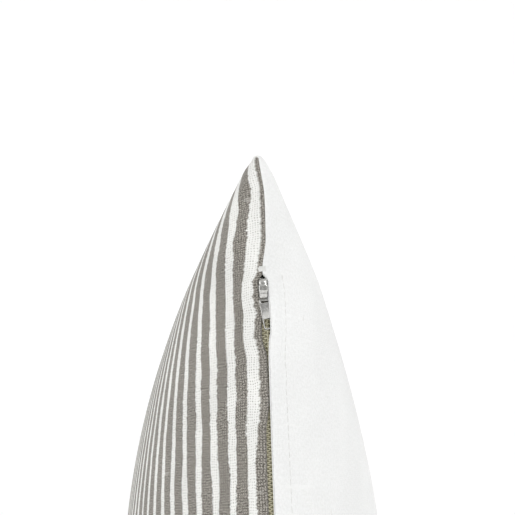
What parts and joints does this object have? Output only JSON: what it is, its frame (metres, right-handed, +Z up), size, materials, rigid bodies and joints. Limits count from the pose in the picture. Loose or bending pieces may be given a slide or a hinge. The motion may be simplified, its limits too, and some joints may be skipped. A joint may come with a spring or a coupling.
{
  "type": "throw pillow",
  "caption": "Square zipped throw pillow with a striped front, a plain back, folded zip facings, a metal slider and a removable filled inner form.",
  "frame": {"origin": "centre of the pillow's footprint, on the plane it stands on", "axes": "+Z up, +X through the thickness towards the plain face, -Y towards the zipped edge"},
  "size_m": [0.1406, 0.44, 0.421],
  "materials": {
    "striped_cotton": "hand-loomed taupe and off-white stripes",
    "plain_cotton": "off-white slub weave",
    "thread": "sewing thread",
    "zip_tape": "khaki woven tape",
    "zip_coil": "khaki coil",
    "nickel": "nickel plate",
    "spring_steel": "thin spring strip",
    "inner_cotton": "plain white casing",
    "fibre_fill": "soft polyester fibre"
  },
  "bodies": {
    "cover": {"front_panel": "striped_cotton", "back_panel": "plain_cotton", "bartack_top": "thread", "bartack_bottom": "thread", "bottom_stop": "nickel", "top_stop_front": "nickel", "top_stop_back": "nickel", "seam_thread": "thread", "insert_casing_front": "inner_cotton", "insert_casing_back": "inner_cotton", "insert_fill": "fibre_fill"},
    "slider": {"slider_body": "nickel", "slider_crown": "nickel"},
    "pull_tab": {"pull_tab": "nickel"},
    "lock_pawl": {"lock_pawl": "spring_steel"},
    "zip_half_front": {"front_placket": "striped_cotton", "topstitch_front": "thread", "zip_tape_front": "zip_tape", "zip_coil_front": "zip_coil"},
    "zip_half_back": {"back_placket": "plain_cotton", "topstitch_back": "thread", "zip_tape_back": "zip_tape", "zip_coil_back": "zip_coil"}
  },
  "joints": [
    {"name": "slider_slide", "type": "slide", "parent": "cover", "child": "slider", "axis": [0, 0, 1], "range_m": [-0.316, 0]},
    {"name": "pull_tab_hinge", "type": "hinge", "parent": "slider", "child": "pull_tab", "pos_m": [0, -0.21435, 0.371], "axis": [1, 0, 0], "range_deg": [-150, 0]},
    {"name": "lock_pawl_lift", "type": "slide", "parent": "slider", "child": "lock_pawl", "axis": [0, -1, 0], "range_m": [0, 0.00027]},
    {"name": "zip_half_front_swing", "type": "hinge", "parent": "cover", "child": "zip_half_front", "pos_m": [-0.002, -0.2115, 0.046], "axis": [0, 1, 0], "range_deg": [-1.13, 0], "deforming": ["front_placket", "topstitch_front", "zip_tape_front", "zip_coil_front"]},
    {"name": "zip_half_back_swing", "type": "hinge", "parent": "cover", "child": "zip_half_back", "pos_m": [0.002, -0.2115, 0.046], "axis": [0, 1, 0], "range_deg": [0, 1.13], "deforming": ["back_placket", "topstitch_back", "zip_tape_back", "zip_coil_back"]}
  ],
  "couplings": [
    {"joint": "zip_half_front_swing", "follows": "slider_slide", "rad_per_m": 0.0624},
    {"joint": "zip_half_back_swing", "follows": "slider_slide", "rad_per_m": -0.0624},
    {"joint": "lock_pawl_lift", "follows": "pull_tab_hinge", "m_per_rad": -0.0001}
  ]
}
